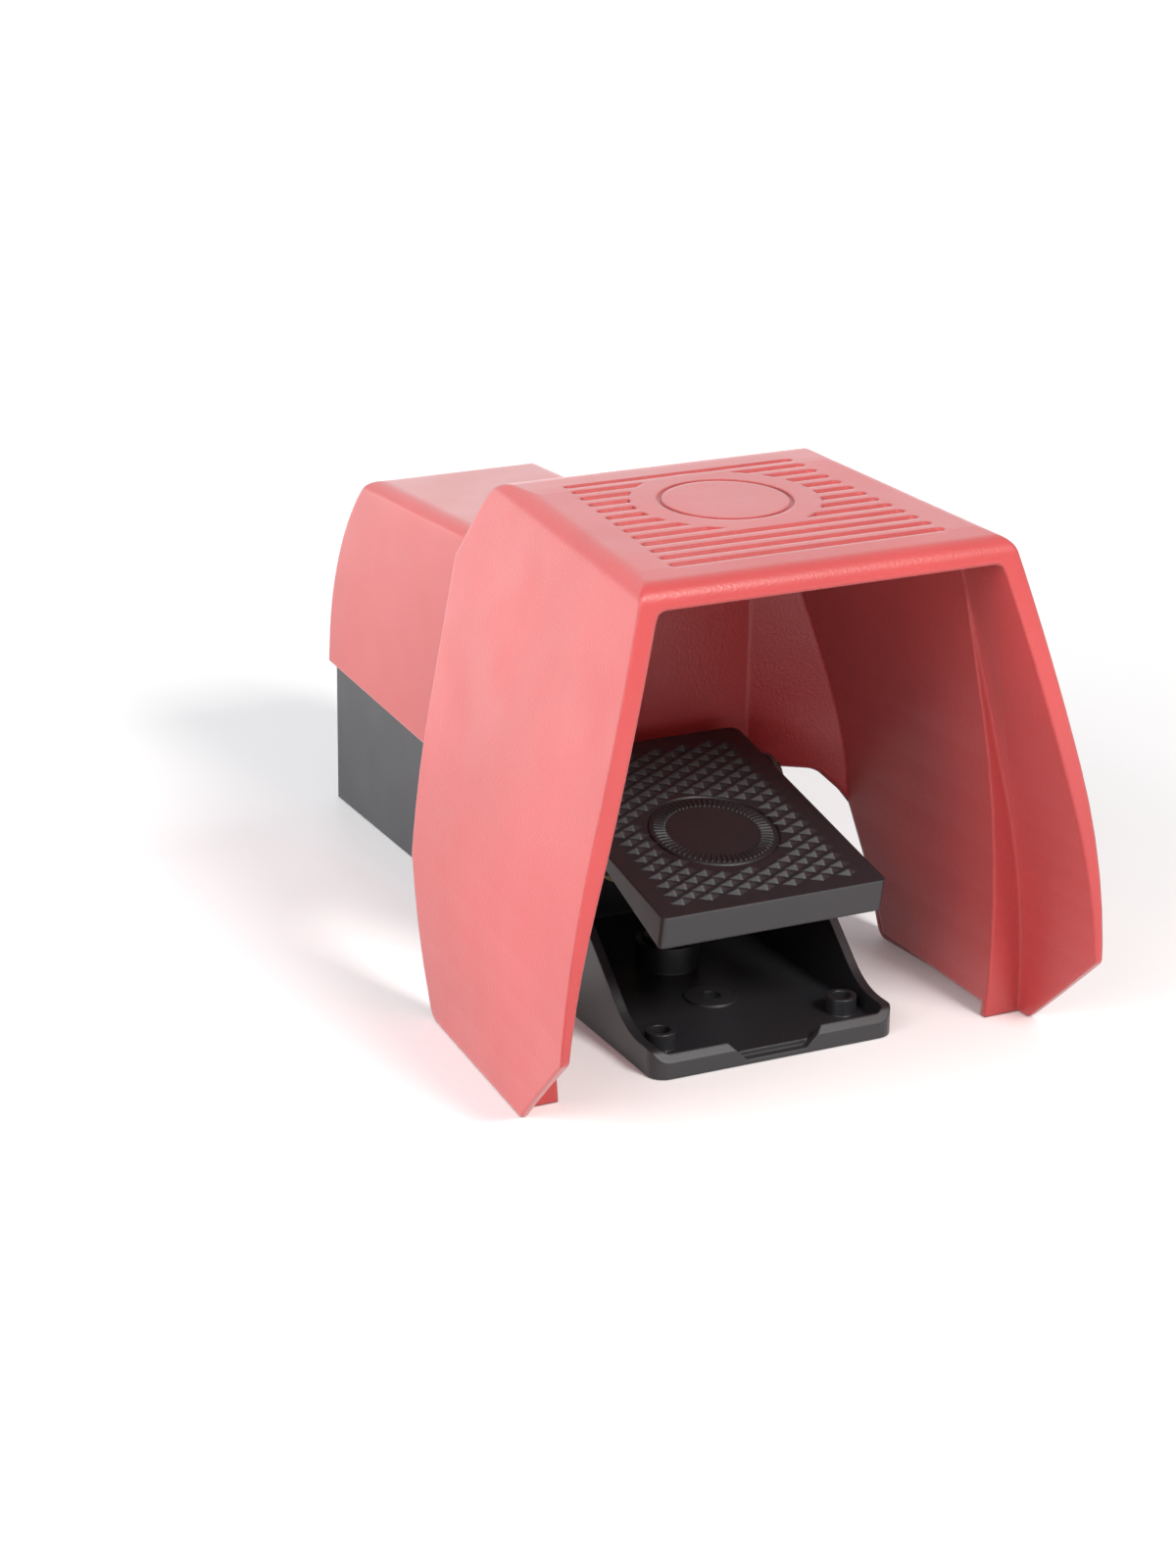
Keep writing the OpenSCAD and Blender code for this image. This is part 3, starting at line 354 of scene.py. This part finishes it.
def make_coil(name, node, axis, wire, turns):
    """A compression spring with closed ends in a CAD spring's place, and its two end points."""
    per_turn, sides = 28, 10
    low, high = (Vector(corner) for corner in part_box(node))
    centre, size, axis = (low + high) / 2, high - low, Vector(axis)
    length, radius = size.dot(axis) - wire, (size.x - wire) / 2
    across = Vector((1, 0, 0))
    up = axis.cross(across)
    steps, closed, thickness = per_turn * turns, 1.0 / turns, wire / length
    points, faces = [], []
    for i in range(steps + 1):
        share = i / steps
        # the first and the last turn climb by one wire each, and the turns between by the rest
        rise = thickness * min(share, 1 - share, closed) / closed
        free = min(max((share - closed) / (1 - 2 * closed), 0), 1)
        height = free * (1 - 2 * thickness) + (rise if share < 0.5 else 2 * thickness - rise)
        angle = 2 * math.pi * turns * share
        out = math.cos(angle) * across + math.sin(angle) * up
        middle = centre + radius * out + (height - 0.5) * length * axis
        for k in range(sides):
            turn = 2 * math.pi * k / sides
            points.append(middle + wire / 2 * (math.cos(turn) * out + math.sin(turn) * axis))
        if i:
            first = (i - 1) * sides
            for k in range(sides):
                m = (k + 1) % sides
                faces.append([first + k, first + m, first + sides + m, first + sides + k])
    faces.append(list(range(sides)))
    faces.append([steps * sides + k for k in reversed(range(sides))])
    coil = mesh_piece(name, points, faces, spring_steel, smooth=True)
    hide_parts(node)
    return coil, centre - size.dot(axis) / 2 * axis, centre + size.dot(axis) / 2 * axis


# ------------------------------------------------------------------ stage
def ray_strength(tree, plain, *picks):
    """A strength that is plain for most rays, and its own value for the named kinds of ray."""
    path = tree.nodes.new("ShaderNodeLightPath")
    last = None
    for ray, value in picks:
        pick = tree.nodes.new("ShaderNodeMix")
        tree.links.new(path.outputs[ray], pick.inputs["Factor"])
        if last is None:
            pick.inputs["A"].default_value = plain
        else:
            tree.links.new(last, pick.inputs["A"])
        pick.inputs["B"].default_value = value
        last = pick.outputs["Result"]
    return last


def make_floor():
    """A pale floor that keeps the object's shadow, and turns white to the camera further out."""
    half, gap = 6.0, 0.3 * MM
    shadow_reach, white_reach, white = 0.34, 0.75, 9
    reflected, seen = 0.23, 0.08
    n = Nodes("floor")
    grey = n.blend(n.noise(3.0), (0.90, 0.90, 0.91), (0.92, 0.92, 0.93))
    n.link(grey, n.shader.inputs["Base Color"])
    n.shader.inputs["Roughness"].default_value = 0.5
    n.shader.inputs["Specular IOR Level"].default_value = 0.2
    reach = n.add("ShaderNodeVectorMath", operation="LENGTH")
    n.link(n.place, reach.inputs[0])
    outer = n.span(reach.outputs["Value"], shadow_reach, white_reach)
    n.link(n.blend(outer, (1, 1, 1), (white, white, white)), n.shader.inputs["Emission Color"])
    glow = ray_strength(n.tree, 0.0, ("Is Glossy Ray", reflected), ("Is Camera Ray", seen))
    n.link(glow, n.shader.inputs["Emission Strength"])
    corners = [(-half, -half, 0), (half, -half, 0), (half, half, 0), (-half, half, 0)]
    floor = mesh_piece("floor", corners, [(0, 1, 2, 3)], n.material)
    floor.location.z = -gap


def lamp(name, place, aim, size, power, color):
    """A rectangular lamp that faces a point."""
    data = bpy.data.lights.new(name, "AREA")
    data.color = color
    data.shape = "RECTANGLE"
    data.size, data.size_y = size
    data.energy = power
    light = bpy.data.objects.new(name, data)
    light.location = place
    light.rotation_euler = (Vector(aim) - Vector(place)).to_track_quat("-Z", "Y").to_euler()
    scene.collection.objects.link(light)


def make_lamps():
    """A small key light in front, a weak one at the front left, and a large box on the left."""
    lamp("front_key", place=(0.4, -1.45, 1.3), aim=(0, 0, 0.06), size=(0.5, 0.5), power=30,
         color=(1.0, 0.97, 0.92))
    lamp("front_left", place=(-1.0, -1.05, 0.9), aim=(0, 0, 0.06), size=(0.6, 0.6), power=5,
         color=(1.0, 0.97, 0.95))
    lamp("left_box", place=(-1.5, -0.25, 0.7), aim=(-0.02, 0, 0.06), size=(1.2, 1.0), power=26,
         color=(1.0, 0.99, 0.98))


def make_world():
    """A white studio: white to the camera, bright in reflections, soft and cool as a light."""
    world = bpy.data.worlds.new("world")
    world.use_nodes = True
    tree = world.node_tree
    background = tree.nodes["Background"]
    background.inputs["Color"].default_value = (0.95, 0.97, 1.0, 1)
    light, reflected, seen = 0.37, 1.35, 1.12
    strength = ray_strength(tree, light, ("Is Glossy Ray", reflected), ("Is Camera Ray", seen))
    tree.links.new(strength, background.inputs["Strength"])
    scene.world = world


# ------------------------------------------------------------------ the whole scene
make_studs()
pedal_coil, foot, head = make_coil("pedal_coil", "return_spring", (0, 0, 1), 1.6 * MM, 8)
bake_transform(pedal_coil)
slide_coil, foot, head = make_coil("slide_coil", "slide_spring", (0, 1, 0), 0.8 * MM, 7)
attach(slide_coil, "housing")
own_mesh(slide_coil)
make_camera()
make_floor()
make_world()
make_lamps()
scene.view_settings.view_transform = "Standard"
